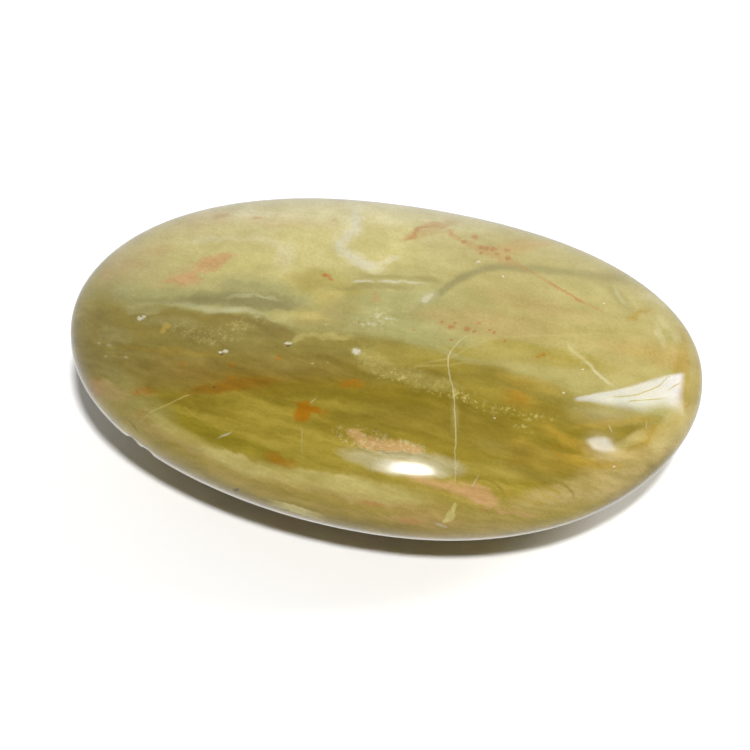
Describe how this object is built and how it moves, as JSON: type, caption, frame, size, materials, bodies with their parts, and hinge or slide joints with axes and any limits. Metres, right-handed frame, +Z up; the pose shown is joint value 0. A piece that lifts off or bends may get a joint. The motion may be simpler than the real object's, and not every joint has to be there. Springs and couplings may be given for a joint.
{
  "type": "polished green opal palm stone",
  "caption": "Smooth flattened oval pebble of banded green opal, polished all over, that lies on a small flat.",
  "frame": {"origin": "middle of the bounding box's underside, on the small flat that the stone rests on", "axes": "+X along the stone's long axis, +Y across it in plan, +Z up through its thickness"},
  "size_m": [0.0674, 0.0434, 0.0245],
  "materials": {
    "polished_opal": "polished"
  },
  "bodies": {
    "root": {"green_opal_stone": "polished_opal"}
  },
  "joints": []
}
